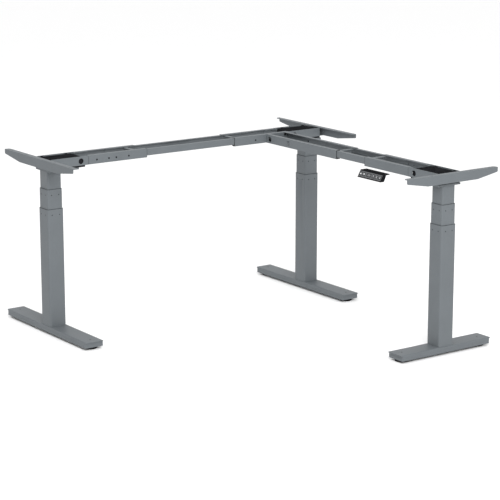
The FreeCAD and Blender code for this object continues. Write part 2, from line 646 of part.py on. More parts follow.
def beam_parts():
    """Rails and screws of both beams, as (leg frame, shape) by node name."""
    start = HEAD_FRONT_X + SEAM_GAP
    left_screws = {-1: LEG_SCREWS_X}
    long_end = SPAN_LONG - CORNER_MOUTH_X + OVERLAP
    long_inner = center_rails(LEFT_MOUTH_X - OVERLAP, long_end, LONG_STRAPS_X)
    return_inner = center_rails(RETURN_MOUTH_X - OVERLAP, JOINT_MOUTH_X + OVERLAP, RETURN_STRAPS_X)
    bolts = [place(joint_bolt(y, z), "return") for y in JOINT_BOLTS_Y for z in JOINT_BOLTS_Z]
    corner_screws = bolts + [place(clamp_screw(CORNER_SCREW_X, 1), "corner"),
                             place(inside_screw(JOINT_SCREW_X), "return")]
    leg_screws = Part.Compound([clamp_screw(x, -1) for x in LEG_SCREWS_X])
    return {
        "rail_left": place(outer_rails(start, LEFT_MOUTH_X, LEFT_TIE_X, -1, left_screws), "left"),
        "rail_center": place(long_inner, "left"),
        "rail_corner": place(rail_corner(), "corner"),
        "return_joint": place(return_joint(), "return"),
        "return_center": place(return_inner, "return"),
        "rail_return": place(outer_rails(start, RETURN_MOUTH_X, RETURN_TIE_X, -1, left_screws), "return"),
        "screws_left": place(leg_screws, "left"),
        "screws_return": place(leg_screws, "return"),
        "screws_corner": Part.Compound(corner_screws),
    }


def all_parts():
    """Every node of the desk frame."""
    parts = {}
    for leg in LEGS:
        for name, shape in leg_parts(leg).items():
            parts[name] = place(shape, leg)
    parts.update(beam_parts())
    parts["handset"] = handset()
    for name, offset in KEY_OFFSETS.items():
        parts[name] = key(offset)
    return parts


os.makedirs("parts", exist_ok=True)
for node, solid in all_parts().items():
    solid.exportStep(os.path.join("parts", node + ".step"))
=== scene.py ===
import math

import bmesh
import bpy
from mathutils import Matrix, Vector


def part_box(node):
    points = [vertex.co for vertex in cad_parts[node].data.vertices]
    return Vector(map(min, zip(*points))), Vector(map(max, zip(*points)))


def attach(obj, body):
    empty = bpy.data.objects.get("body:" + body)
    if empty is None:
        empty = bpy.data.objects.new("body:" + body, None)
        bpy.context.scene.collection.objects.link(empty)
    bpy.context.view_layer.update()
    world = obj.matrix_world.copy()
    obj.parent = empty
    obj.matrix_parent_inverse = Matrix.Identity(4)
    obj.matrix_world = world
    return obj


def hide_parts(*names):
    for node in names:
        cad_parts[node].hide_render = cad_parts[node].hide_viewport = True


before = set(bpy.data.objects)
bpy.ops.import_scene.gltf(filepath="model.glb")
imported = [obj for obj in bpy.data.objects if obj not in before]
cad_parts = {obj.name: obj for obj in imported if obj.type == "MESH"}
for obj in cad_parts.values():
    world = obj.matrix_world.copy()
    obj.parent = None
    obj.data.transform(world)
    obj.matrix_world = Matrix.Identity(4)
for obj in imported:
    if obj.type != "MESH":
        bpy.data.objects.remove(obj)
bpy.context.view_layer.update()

MM = 0.001
LEGS = ("left", "corner", "return")
# Heading in plan of each leg's own x axis, which runs along its beam; its y axis is its foot's.
LEG_HEADING = {"left": 0.0, "corner": math.pi, "return": math.pi / 2}

# ---- camera, aimed at the middle of the frame
CAMERA_TARGET = Vector((0.016, -0.017, 0.370))
CAMERA_DISTANCE = 8.231
CAMERA_AZIMUTH = 35.55
CAMERA_ELEVATION = 13.18
CAMERA_LENS = 134.4
CAMERA_SENSOR = 36.0
CAMERA_CLIP_END = 200.0

# ---- floor, sky and lamps
FLOOR_RADIUS = 60.0
FLOOR_SIDES = 96
FLOOR_ROUGHNESS = 0.8
FLOOR_CLOUDS = 3.0
FLOOR_DARK_SHARE = 0.99
SKY = (1.0, 1.0, 1.0, 1.0)
SKY_STRENGTH = 1.05
LAMP_AIM = (0.0, 0.0, 0.4)
# Place, side of the square and power in watts
LAMPS = {"key": ((-2.4, -6.2, 4.4), 3.0, 380.0), "top": ((-0.8, 1.0, 4.5), 3.0, 20.0)}

# ---- colours, linear
PAINT = (0.110, 0.122, 0.131)
BLACK = (0.014, 0.0145, 0.016)
SOFT_BLACK = (0.022, 0.022, 0.023)
RUBBER = (0.010, 0.010, 0.010)
STEEL = (0.36, 0.36, 0.37)
FASCIA_GREY = (0.085, 0.088, 0.092)
MARK = (0.75, 0.76, 0.78)
FLOOR = (0.93, 0.93, 0.93)


# ---------------------------------------------------------------- materials

NOISE_RANGE = (0.3, 0.7)
NOISE_ROUGHNESS = 0.55
NOISE_DETAIL = 3.0
CLOUD_SCALE = 9.0
CLOUD_DETAIL = 4.0
GRAIN_DETAIL = 2.0
GRAINS_PER_MOTTLE = 7.0
GRAIN_WEIGHT = 0.45
TINT_RANGE = (0.45, 1.0)
FINISH_BUMP = 0.35
# How far the roughness strays below and above its value
FINISH_STRAY = (0.05, 0.07)
TURNING_STRAY = (0.06, 0.1)
TURNING_TINTS = (0.82, 1.12)
TURNING_STRETCH = (12.0, 12.0, 900.0)
TURNING_SCALE = 2.0
TURNING_BUMP = 0.2
TURNING_DEPTH = 0.00005


def shader(name, base, metallic=0.0, gloss=0.5):
    """A material with one Principled shader, its tree and that shader."""
    material = bpy.data.materials.new(name)
    material.use_nodes = True
    tree = material.node_tree
    principled = tree.nodes["Principled BSDF"]
    principled.inputs["Base Color"].default_value = (*base, 1.0)
    principled.inputs["Metallic"].default_value = metallic
    principled.inputs["Specular IOR Level"].default_value = gloss
    material.diffuse_color = (*base, 1.0)
    return material, tree, principled


def noise(tree, vector, scale, detail=NOISE_DETAIL):
    """Noise texture on given coordinates."""
    node = tree.nodes.new("ShaderNodeTexNoise")
    node.inputs["Scale"].default_value = scale
    node.inputs["Detail"].default_value = detail
    node.inputs["Roughness"].default_value = NOISE_ROUGHNESS
    tree.links.new(vector, node.inputs["Vector"])
    return node.outputs["Fac"]


def remap(tree, value, low, high):
    """Maps the usual span of a noise value to a range."""
    node = tree.nodes.new("ShaderNodeMapRange")
    node.inputs["From Min"].default_value = NOISE_RANGE[0]
    node.inputs["From Max"].default_value = NOISE_RANGE[1]
    node.inputs["To Min"].default_value = low
    node.inputs["To Max"].default_value = high
    tree.links.new(value, node.inputs["Value"])
    return node.outputs["Result"]


def tinted(tree, factor, dark, light):
    """Colour between two tints, by a factor."""
    node = tree.nodes.new("ShaderNodeMix")
    node.data_type = "RGBA"
    node.inputs["A"].default_value = (*dark, 1.0)
    node.inputs["B"].default_value = (*light, 1.0)
    tree.links.new(factor, node.inputs["Factor"])
    return node.outputs["Result"]


def scaled(colour, share):
    """A colour made darker or lighter."""
    return tuple(channel * share for channel in colour)


def add_bump(tree, principled, height, strength, depth):
    """Bump from a height value on a shader."""
    relief = tree.nodes.new("ShaderNodeBump")
    relief.inputs["Strength"].default_value = strength
    relief.inputs["Distance"].default_value = depth
    tree.links.new(height, relief.inputs["Height"])
    tree.links.new(relief.outputs["Normal"], principled.inputs["Normal"])


def finish(name, base, rough, grain, bump, spread, gloss=0.5):
    """Painted or moulded surface: broad tint, fine grain, uneven gloss and a fine bump."""
    material, tree, principled = shader(name, base, gloss=gloss)
    coords = tree.nodes.new("ShaderNodeTexCoord").outputs["Object"]
    broad = noise(tree, coords, CLOUD_SCALE, CLOUD_DETAIL)
    fine = noise(tree, coords, grain, GRAIN_DETAIL)
    mottle = noise(tree, coords, grain / GRAINS_PER_MOTTLE)
    mixed = tree.nodes.new("ShaderNodeMath")
    mixed.operation = "MULTIPLY_ADD"
    tree.links.new(fine, mixed.inputs[0])
    mixed.inputs[1].default_value = GRAIN_WEIGHT
    tree.links.new(broad, mixed.inputs[2])
    factor = tree.nodes.new("ShaderNodeMapRange")
    factor.inputs["From Min"].default_value = TINT_RANGE[0]
    factor.inputs["From Max"].default_value = TINT_RANGE[1]
    tree.links.new(mixed.outputs["Value"], factor.inputs["Value"])
    colour = tinted(tree, factor.outputs["Result"],
                    scaled(base, 1.0 - spread), scaled(base, 1.0 + spread))
    tree.links.new(colour, principled.inputs["Base Color"])
    uneven = remap(tree, mottle, rough - FINISH_STRAY[0], rough + FINISH_STRAY[1])
    tree.links.new(uneven, principled.inputs["Roughness"])
    add_bump(tree, principled, fine, FINISH_BUMP, bump)
    return material


def turned_steel(name, base, rough):
    """Bright steel with fine marks round the axis."""
    material, tree, principled = shader(name, base, 1.0)
    coords = tree.nodes.new("ShaderNodeTexCoord").outputs["Object"]
    stretch = tree.nodes.new("ShaderNodeMapping")
    stretch.inputs["Scale"].default_value = TURNING_STRETCH
    tree.links.new(coords, stretch.inputs["Vector"])
    marks = noise(tree, stretch.outputs["Vector"], TURNING_SCALE)
    dark, light = (scaled(base, share) for share in TURNING_TINTS)
    colour = tinted(tree, remap(tree, marks, 0.0, 1.0), dark, light)
    tree.links.new(colour, principled.inputs["Base Color"])
    uneven = remap(tree, marks, rough - TURNING_STRAY[0], rough + TURNING_STRAY[1])
    tree.links.new(uneven, principled.inputs["Roughness"])
    add_bump(tree, principled, marks, TURNING_BUMP, TURNING_DEPTH)
    return material


# Name, colour, roughness, grain per metre, bump in metres, spread of tint and gloss. The blacks
# have next to no gloss, because a white sky turns any shine on them grey.
FINISHES = {
    "paint": ("powder_coat_grey", PAINT, 0.48, 1500.0, 0.00012, 0.05, 0.28),
    "housing": ("housing_black", BLACK, 0.65, 900.0, 0.00018, 0.14, 0.0005),
    "rubber": ("rubber_black", RUBBER, 0.8, 700.0, 0.0002, 0.15, 0.0005),
    "cap": ("glide_cap_black", BLACK, 0.5, 1100.0, 0.00008, 0.1, 0.01),
    "screw": ("screw_black_oxide", BLACK, 0.42, 1600.0, 0.00006, 0.2, 0.05),
    "guide": ("guide_plastic", SOFT_BLACK, 0.6, 1200.0, 0.0001, 0.12, 0.02),
    "handset": ("handset_shell", scaled(BLACK, 0.6), 0.45, 1400.0, 0.0001, 0.12, 0.0005),
    "fascia": ("handset_fascia", FASCIA_GREY, 0.42, 1300.0, 0.00005, 0.08, 0.2),
    "key": ("key_rubber", scaled(FASCIA_GREY, 0.55), 0.6, 1200.0, 0.0001, 0.1, 0.2),
    "mark": ("key_marks", MARK, 0.5, 1200.0, 0.00003, 0.04),
    "digit": ("display_digits", scaled(MARK, 0.3), 0.5, 1200.0, 0.00003, 0.04),
    "glass": ("display_window", scaled(BLACK, 1.5), 0.12, 300.0, 0.00001, 0.05, 0.3),
}
MATERIALS = {look: finish(*values) for look, values in FINISHES.items()}
MATERIALS["spindle"] = turned_steel("spindle_steel", STEEL, 0.28)
MATERIALS["post"] = turned_steel("post_steel", scaled(STEEL, 0.8), 0.4)
# The finish of CAD nodes that keep their own mesh, by the start of their names
NODE_LOOK = {
    "outer_guide_": "guide", "mid_guide_": "guide", "nut_post_": "post", "mid_nut_post_": "post",
    "spindle_lower_": "spindle", "spindle_upper_": "spindle",
}


# ---------------------------------------------------------------- mesh helpers

SMOOTH_ANGLE = math.radians(35.0)
BEVEL_ANGLE = math.radians(40.0)
BEND_ANGLE = math.radians(60.0)
FLAT_ANGLE = math.radians(0.6)
# Narrowest face that counts as broad sheet
BROAD = 8 * MM
# Distances in metres under which vertices are merged
CAD_WELD = 0.00001
BEVEL_WELD = 0.00002
LATHE_WELD = 0.000001


def from_bmesh(name, work, material):
    """Object from a bmesh, shaded smooth where faces meet at a shallow angle."""
    mesh = bpy.data.meshes.new(name)
    work.to_mesh(mesh)
    work.free()
    mesh.polygons.foreach_set("use_smooth", [True] * len(mesh.polygons))
    mesh.set_sharp_from_angle(angle=SMOOTH_ANGLE)
    mesh.materials.append(MATERIALS[material])
    made = bpy.data.objects.new(name, mesh)
    bpy.context.scene.collection.objects.link(made)
    return made


def bevel_edges(piece, width, segments=2):
    """Rounds the sharp edges of a piece and clears the slivers that this leaves."""
    modifier = piece.modifiers.new("bevel", "BEVEL")
    modifier.width = width
    modifier.segments = segments
    modifier.limit_method = "ANGLE"
    modifier.angle_limit = BEVEL_ANGLE
    modifier.harden_normals = True
    modifier.use_clamp_overlap = True
    depsgraph = bpy.context.evaluated_depsgraph_get()
    baked = bpy.data.meshes.new_from_object(piece.evaluated_get(depsgraph))
    work = bmesh.new()
    work.from_mesh(baked)
    bmesh.ops.remove_doubles(work, verts=work.verts, dist=BEVEL_WELD)
    bmesh.ops.dissolve_degenerate(work, edges=work.edges, dist=BEVEL_WELD)
    work.to_mesh(baked)
    work.free()
    piece.modifiers.clear()
    piece.data = baked


def face_width(face):
    """Narrow measure of a face: its area over its longest edge."""
    return face.calc_area() / max(edge.calc_length() for edge in face.edges)


def round_bends(work, radius):
    """Rounds the outer corners where two broad faces of sheet or moulding meet."""
    bends = [edge for edge in work.edges
             if len(edge.link_faces) == 2 and edge.is_convex
             and edge.calc_face_angle() > BEND_ANGLE
             and min(face_width(face) for face in edge.link_faces) > BROAD]
    bmesh.ops.bevel(work, geom=bends, offset=radius, segments=3, profile=0.5, affect="EDGES",
                    clamp_overlap=True)


def softened(node, body, material, bend, width):
    """The CAD node's own shape with rounded bends and broken edges; stands for the node."""
    work = bmesh.new()
    work.from_mesh(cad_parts[node].data)
    bmesh.ops.remove_doubles(work, verts=work.verts, dist=CAD_WELD)
    bmesh.ops.dissolve_limit(work, angle_limit=FLAT_ANGLE, verts=work.verts, edges=work.edges)
    if bend:
        round_bends(work, bend)
    piece = from_bmesh("look_" + node, work, material)
    bevel_edges(piece, width)
    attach(piece, body)
    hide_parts(node)
    return piece


def skin(work, first, second):
    """Faces between two rings of vertices."""
    for i, start in enumerate(first):
        j = (i + 1) % len(first)
        work.faces.new((start, first[j], second[j], second[i]))


def rounded_outline(half_x, half_y, corner, steps, centre=(0.0, 0.0)):
    """(x, y) points round a rectangle with rounded corners."""
    points = []
    for quarter in range(4):
        sign_x = 1 if quarter in (0, 3) else -1
        sign_y = 1 if quarter in (0, 1) else -1
        for i in range(steps + 1):
            turn = math.pi / 2 * (quarter + i / steps)
            points.append((centre[0] + sign_x * (half_x - corner) + corner * math.cos(turn),
                           centre[1] + sign_y * (half_y - corner) + corner * math.sin(turn)))
    return points


def closed_profile(points):
    """A lathe profile with both of its ends led to the axis."""
    return [(0.0, points[0][1]), *points, (0.0, points[-1][1])]


def lathe_mesh(profile, segments=48):
    """bmesh turned round z from (radius, height) points; points at radius 0 close it."""
    work = bmesh.new()
    rings = []
    for radius, height in profile:
        if radius <= 0.0:
            rings.append([work.verts.new((0.0, 0.0, height))])
            continue
        rings.append([work.verts.new((radius * math.cos(2 * math.pi * i / segments),
                                      radius * math.sin(2 * math.pi * i / segments), height))
                      for i in range(segments)])
    for lower, upper in zip(rings, rings[1:]):
        if len(lower) > 1 and len(upper) > 1:
            skin(work, lower, upper)
            continue
        for i in range(segments):
            j = (i + 1) % segments
            if len(lower) == 1:
                work.faces.new((lower[0], upper[j], upper[i]))
            else:
                work.faces.new((lower[i], lower[j], upper[0]))
    bmesh.ops.remove_doubles(work, verts=work.verts, dist=LATHE_WELD)
    bmesh.ops.recalc_face_normals(work, faces=work.faces)
    return work


def channel_mesh(section, x0, x1):
    """bmesh of a (y, z) outline pushed along x."""
    work = bmesh.new()
    ends = [[work.verts.new((x, y, z)) for y, z in section] for x in (x0, x1)]
    for end in ends:
        work.faces.new(end)
    skin(work, ends[0], ends[1])
    bmesh.ops.recalc_face_normals(work, faces=work.faces)
    return work


def pierced_plate(xs, ys, is_open, low, high):
    """bmesh of a flat plate on a grid of lines, without the cells that are open."""
    work = bmesh.new()
    corners = {(i, j, z): work.verts.new((x, y, z))
               for i, x in enumerate(xs) for j, y in enumerate(ys) for z in (low, high)}

    def solid(i, j):
        return 0 <= i < len(xs) - 1 and 0 <= j < len(ys) - 1 and not is_open(i, j)

    for i in range(len(xs) - 1):
        for j in range(len(ys) - 1):
            if not solid(i, j):
                continue
            ring = ((i, j), (i + 1, j), (i + 1, j + 1), (i, j + 1))
            for z in (low, high):
                work.faces.new([corners[a, b, z] for a, b in ring])
            beside = ((i, j - 1), (i + 1, j), (i, j + 1), (i - 1, j))
            for (a, b), start, end in zip(beside, ring, ring[1:] + ring[:1]):
                if not solid(a, b):
                    work.faces.new((corners[(*start, low)], corners[(*end, low)],
                                    corners[(*end, high)], corners[(*start, high)]))
    bmesh.ops.recalc_face_normals(work, faces=work.faces)
    return work


def placed(piece, matrix, body):
    """Puts a piece made at the origin where it belongs and lets it ride."""
    piece.data.transform(matrix)
    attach(piece, body)


def leg_matrix(leg):
    """From a leg's own axes to the desk frame."""
    low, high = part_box("outer_tube_" + leg)
    centre = (low + high) / 2
    return Matrix.Translation((centre.x, centre.y, 0.0)) @ Matrix.Rotation(LEG_HEADING[leg], 4, "Z")


def facing(direction):
    """Turns the z axis to a direction."""
    return Vector((0, 0, 1)).rotation_difference(Vector(direction)).to_matrix().to_4x4()


# ---------------------------------------------------------------- steel frame

BEND = 1.6 * MM
EDGE = 0.35 * MM
HEAVY_EDGE = 0.5 * MM
DRIVE_BEND = 1.5 * MM

for leg in LEGS:
    softened("foot_" + leg, "base_" + leg, "paint", 0.0, HEAVY_EDGE)
    softened("outer_tube_" + leg, "base_" + leg, "paint", 0.0, EDGE)
    softened("mid_tube_" + leg, "mid_" + leg, "paint", 0.0, EDGE)
    softened("inner_tube_" + leg, "top_" + leg, "paint", 0.0, HEAVY_EDGE)
    softened("head_" + leg, "top_" + leg, "paint", BEND, EDGE)
    softened("bracket_" + leg, "top_" + leg, "paint", BEND, EDGE)
    softened("drive_" + leg, "top_" + leg, "housing", DRIVE_BEND, HEAVY_EDGE)

RAILS = {"rail_left": "top_left", "rail_center": "center_long", "rail_corner": "top_corner",
         "return_joint": "top_corner", "return_center": "center_return",
         "rail_return": "top_return"}
for node, body in RAILS.items():
    softened(node, body, "paint", BEND, EDGE)

for name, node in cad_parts.items():
    for start, look in NODE_LOOK.items():
        if name.startswith(start):
            node.data.materials.clear()
            node.data.materials.append(MATERIALS[look])


# ---------------------------------------------------------------- column mouths

MOUTH_LIP = 0.9 * MM
MOUTH_SINK = 0.2 * MM
MOUTH_INSET = 0.5 * MM
MOUTH_REACH = 2.5 * MM
MOUTH_CORNER = 8.0 * MM
LEAST_CORNER = 1.0 * MM
MOUTH_STEPS = 6


def square_ring(half_out, half_in, round_out, low, high):
    """bmesh of a flat square ring with rounded corners, upright on z."""
    work = bmesh.new()
    round_in = max(round_out - (half_out - half_in), LEAST_CORNER)
    outer = rounded_outline(half_out, half_out, round_out, MOUTH_STEPS)
    inner = rounded_outline(half_in, half_in, round_in, MOUTH_STEPS)
    rings = [[work.verts.new((x, y, z)) for x, y in outline]
             for outline, z in ((outer, low), (outer, high), (inner, high), (inner, low))]
    for first, second in zip(rings, rings[1:] + rings[:1]):
        skin(work, first, second)
    bmesh.ops.recalc_face_normals(work, faces=work.faces)
    return work


for leg in LEGS:
    for tube, body in (("outer_tube_", "base_"), ("mid_tube_", "mid_")):
        low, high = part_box(tube + leg)
        half = (high.x - low.x) / 2
        lip = square_ring(half - MOUTH_INSET, half - MOUTH_REACH, MOUTH_CORNER,
                          high.z - MOUTH_SINK, high.z + MOUTH_LIP)
        ring = from_bmesh("mouth_" + tube + leg, lip, "guide")
        placed(ring, leg_matrix(leg), body + leg)


# ---------------------------------------------------------------- levelling glides

# Millimetres: (in from the glide's rim, above the floor), or (from the axis, above the floor)
PAD_FROM_RIM = ((1.2, 0.0), (0.2, 0.8), (0.0, 2.0), (0.0, 3.8), (0.5, 4.7), (1.4, 5.0))
CAP_FROM_RIM = ((2.0, 4.6), (2.2, 6.0), (4.0, 8.0), (8.0, 10.2), (13.0, 11.6))
CAP_CROWN = (11.0, 12.0)
NUT_FROM_AXIS = ((6.9, 11.8), (7.9, 12.4), (7.9, 15.2), (6.9, 16.0))
STUD_START = 15.0 * MM
THREAD_START = 16.0 * MM
THREAD_END = 1.4 * MM
THREAD_PITCH = 1.25 * MM
THREAD_ROOT = 3.5 * MM
THREAD_CREST = 4.05 * MM
CREST_FROM = 0.5 * MM
CREST_TO = 0.7 * MM
STUD_CHAMFER = ((3.4 * MM, 0.4 * MM), (2.8 * MM, 0.0))
STUD_SIDES = 24
NUT_SIDES = 6


def from_rim(radius, points):
    """Lathe points in metres from points measured inwards from a rim."""
    return [(radius - inset * MM, height * MM) for inset, height in points]


def in_metres(points):
    """Points in metres from points in millimetres."""
    return [(a * MM, b * MM) for a, b in points]


def thread_profile(top):
    """Lathe profile of a threaded stud that ends at a height."""
    profile = [(0.0, STUD_START)]
    root = THREAD_START
    while root < top - THREAD_END:
        profile += [(THREAD_ROOT, root), (THREAD_CREST, root + CREST_FROM),
                    (THREAD_CREST, root + CREST_TO)]
        root += THREAD_PITCH
    profile += [(radius, top - drop) for radius, drop in STUD_CHAMFER]
    return profile + [(0.0, top)]


def glide_look(leg, letter):
    """Rubber pad, domed black cap, hexagon nut and threaded stud."""
    node = "glide_" + letter + "_" + leg
    body = node + "_body"
    low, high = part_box(node)
    centre = (low + high) / 2
    radius = (high.x - low.x) / 2
    spot = Matrix.Translation((centre.x, centre.y, low.z))
    pad_profile = closed_profile(from_rim(radius, PAD_FROM_RIM))
    pad = from_bmesh("pad_" + node, lathe_mesh(pad_profile), "rubber")
    placed(pad, spot, body)
    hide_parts(node)
    cap_profile = closed_profile(from_rim(radius, CAP_FROM_RIM) + in_metres([CAP_CROWN]))
    cap = from_bmesh("cap_" + node, lathe_mesh(cap_profile), "cap")
    placed(cap, spot, body)
    nut_profile = closed_profile(in_metres(NUT_FROM_AXIS))
    nut = from_bmesh("nut_" + node, lathe_mesh(nut_profile, NUT_SIDES), "cap")
    placed(nut, spot, body)
    stud_mesh = lathe_mesh(thread_profile(high.z - low.z), STUD_SIDES)
    stud = from_bmesh("stud_" + node, stud_mesh, "screw")
    placed(stud, spot, body)


for leg in LEGS:
    glide_look(leg, "a")
    glide_look(leg, "b")


# ---------------------------------------------------------------- screws and bolts

# Shapes of heads as shares of (radius, height)
PAN_HEAD = ((0.0, 0.0), (0.97, 0.0), (1.0, 0.25), (0.9, 0.72), (0.66, 1.0), (0.5, 1.0),
            (0.46, 0.25), (0.0, 0.15))
HEX_FLANGE = ((1.0, 0.0), (1.0, 0.2), (0.86, 0.32), (0.82, 0.34))
HEX_CROWN = ((0.84, 0.2), (0.84, 0.85), (0.7, 1.0))
SHANK_TIP = 0.8
SHANK_CHAMFER = 0.4 * MM
# A bolt is longer than this in every direction, a screw isn't
BOLT_LEAST = 8.5 * MM
BOLT_RADIUS = 4.0 * MM
BOLT_HEAD = 5.0 * MM
SCREW_RADIUS = 2.5 * MM
SCREW_HEAD = 1.6 * MM


def islands(node):
    """(low, high) corners of each separate solid of a node."""
    work = bmesh.new()
    work.from_mesh(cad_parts[node].data)
    bmesh.ops.remove_doubles(work, verts=work.verts, dist=CAD_WELD)
    left = set(work.verts)
    found = []
    while left:
        stack = [left.pop()]
        island = list(stack)
        while stack:
            for edge in stack.pop().link_edges:
                for vert in edge.verts:
                    if vert in left:
                        left.remove(vert)
                        stack.append(vert)
                        island.append(vert)
        low = Vector([min(vert.co[i] for vert in island) for i in range(3)])
        high = Vector([max(vert.co[i] for vert in island) for i in range(3)])
        found.append((low, high))
    work.free()
    return found


def sized(shares, radius, height):
    """Lathe points from shares of a radius and a height."""
    return [(radius * across, height * up) for across, up in shares]


def pan_head(radius, height):
    """bmesh of a pan head with a round recess, seated on z = 0."""
    return lathe_mesh(sized(PAN_HEAD, radius, height), 24)


def hex_head(radius, height):
    """bmesh of a hexagon head with a chamfered crown on a flange, seated on z = 0."""
    work = lathe_mesh(closed_profile(sized(HEX_FLANGE, radius, height)), 32)
    crown = lathe_mesh(closed_profile(sized(HEX_CROWN, radius, height)), 6)
    absorb(work, crown)
    return work


def shank(radius, length):
    """bmesh of a plain shank from z = 0 downwards."""
    return lathe_mesh(closed_profile([(radius * SHANK_TIP, -length),
                                      (radius, -length + SHANK_CHAMFER), (radius, 0.0)]), 20)


def absorb(work, part):
    """Adds one bmesh to another and frees it."""
    mesh = bpy.data.meshes.new("part")
    part.to_mesh(mesh)
    part.free()
    work.from_mesh(mesh)
    bpy.data.meshes.remove(mesh)


def joined(parts, name, material):
    """One object from several (bmesh, matrix) parts."""
    work = bmesh.new()
    for part, matrix in parts:
        bmesh.ops.transform(part, matrix=matrix, verts=part.verts)
        absorb(work, part)
    return from_bmesh(name, work, material)


def fastener(low, high, outward, thread_radius, head_height, head):
    """Parts of one screw whose head points outward, filling its CAD box."""
    axis = max(range(3), key=lambda i: abs(outward[i]))
    size = high - low
    head_radius = max(size[i] for i in range(3) if i != axis) / 2
    seat = (low + high) / 2
    seat[axis] = (high[axis] - head_height) if outward[axis] > 0 else (low[axis] + head_height)
    matrix = Matrix.Translation(seat) @ facing(outward)
    return [(head(head_radius, head_height), matrix),
            (shank(thread_radius, size[axis] - head_height), matrix)]


def screw_set(node, body, outward):
    """All screws of a node; outward gives a head's direction from its box."""
    parts = []
    for low, high in islands(node):
        direction = outward(low, high)
        if min(high - low) > BOLT_LEAST:
            parts += fastener(low, high, direction, BOLT_RADIUS, BOLT_HEAD, hex_head)
        else:
            parts += fastener(low, high, direction, SCREW_RADIUS, SCREW_HEAD, pan_head)
    piece = joined(parts, "look_" + node, "screw")
    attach(piece, body)
    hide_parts(node)


def corner_outward(low, high):
    """Direction of a corner head: bolts look along -Y, screws along their short side."""
    size = high - low
    if min(size) > BOLT_LEAST:
        return Vector((0, -1, 0))
    return Vector((-1, 0, 0)) if size.x < size.y else Vector((0, -1, 0))


screw_set("screws_left", "top_left", lambda low, high: Vector((0, -1, 0)))
screw_set("screws_return", "top_return", lambda low, high: Vector((1, 0, 0)))
screw_set("screws_corner", "top_corner", corner_outward)


# ---------------------------------------------------------------- rail mouths and head holes

TRIM_OUT = 1.5 * MM
TRIM_BACK = 14.0 * MM
TRIM_EDGE = 0.25 * MM
# Sections of one side's liner and slide block: millimetres from the beam's middle, and height
LINER_SECTION = ((61.3, 748.3), (61.3, 787.7), (42.0, 787.7), (42.0, 785.9),
                 (59.45, 785.9), (59.45, 755.3), (42.0, 755.3), (42.0, 748.3))
BLOCK_SECTION = ((59.2, 750.2), (59.2, 755.1), (42.5, 755.1), (42.5, 750.2))


def mouth_trim(name, body, leg, mouth, outward):
    """Black plastic liner round a rail pair's mouth, with a slide block under each inner rail."""
    lip = (mouth, mouth + outward * TRIM_OUT)
    heel = (mouth - outward * TRIM_BACK, mouth)
    parts = []
    for side in (-1, 1):
        for along, section in ((lip, LINER_SECTION), (heel, BLOCK_SECTION)):
            points = [(side * y * MM, z * MM) for y, z in section]
            parts.append((channel_mesh(points, min(along), max(along)), leg_matrix(leg)))
    trim = joined(parts, name, "guide")
    bevel_edges(trim, TRIM_EDGE, 1)
    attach(trim, body)


def mouth_of(node, leg, outward):
    """Distance of a rail pair's open end from a leg's axis."""
    inverse = leg_matrix(leg).inverted()
    ends = [(inverse @ Vector(corner)).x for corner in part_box(node)]
    return max(ends) if outward > 0 else min(ends)


for node, body, leg, outward in (("rail_left", "top_left", "left", 1),
                                 ("rail_corner", "top_corner", "corner", 1),
                                 ("rail_return", "top_return", "return", 1),
                                 ("return_joint", "top_corner", "return", -1)):
    mouth_trim("mouth_trim_" + node, body, leg, mouth_of(node, leg, outward), outward)


# Cable hole in a leg's own axes, and its rim's profile: (from the axis, out of the face), mm
CABLE_HOLE_X = 120.0 * MM
CABLE_HOLE_Y = 61.5
CABLE_HOLE_Z = 767.0 * MM
RIM_PROFILE = ((12.5, -2.4), (12.5, 0.5), (13.0, 1.0), (14.2, 1.0), (15.4, 0.4),
               (15.6, -0.2), (13.2, -0.3), (13.1, -2.4), (12.5, -2.4))
RIM_SIDES = 40


def rolled_rims(leg):
    """Rolled edges round the two cable holes of a head."""
    parts = []
    for side in (-1, 1):
        spot = Matrix.Translation((CABLE_HOLE_X, side * CABLE_HOLE_Y * MM, CABLE_HOLE_Z))
        parts.append((lathe_mesh(in_metres(RIM_PROFILE), RIM_SIDES),
                      leg_matrix(leg) @ spot @ facing((0, side, 0))))
    rim = joined(parts, "hole_rim_" + leg, "paint")
    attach(rim, "top_" + leg)


for leg in LEGS:
    rolled_rims(leg)


# ---------------------------------------------------------------- handset

# Fall and rise of the key face, millimetres
SLOPE_BACK = 18.0
SLOPE_UP = 31.0
SHELL_BEND = 1.2 * MM
SHELL_EDGE = 0.4 * MM
# Places along the face, millimetres from its middle
KEY_SPOTS = {"up": -62.0, "down": -41.0, "one": 20.0, "two": 41.0, "three": 62.0}
WINDOW_SPOT = -10.0 * MM
# Half sizes of the fascia and of its openings
FASCIA_HALF = 72.0 * MM
FASCIA_REACH = 12.8 * MM
KEY_OPENING = 8.1 * MM
WINDOW_OPENING = 14.6 * MM
OPENING_REACH = 8.3 * MM
# Width, height and corner radius, then lowest and highest level over the face
WINDOW = (28.4 * MM, 16.2 * MM, 1.0 * MM, -0.7 * MM, 0.3 * MM)
KEY_CAP = (15.0 * MM, 14.0 * MM, 2.0 * MM, -2.2 * MM, 1.4 * MM)
FASCIA_LEVELS = (-0.1 * MM, 0.7 * MM)
DIGIT_LEVEL = 0.32 * MM
MARK_LEVEL = 1.38 * MM
KEY_EDGE = 0.5 * MM
PLATE_STEPS = 5
DIGIT_SIZE = 12.0 * MM
TEXT_DEPTH = 0.06 * MM
ARROW_SIZE = 4.6 * MM
ARROW_BASE = -0.6
ARROW_TIP = 0.9
ARROW_DEPTH = 0.12 * MM
NUMBERS = {"one": ("1", 14.0 * MM), "two": ("2", 13.0 * MM), "three": ("3", 13.0 * MM)}


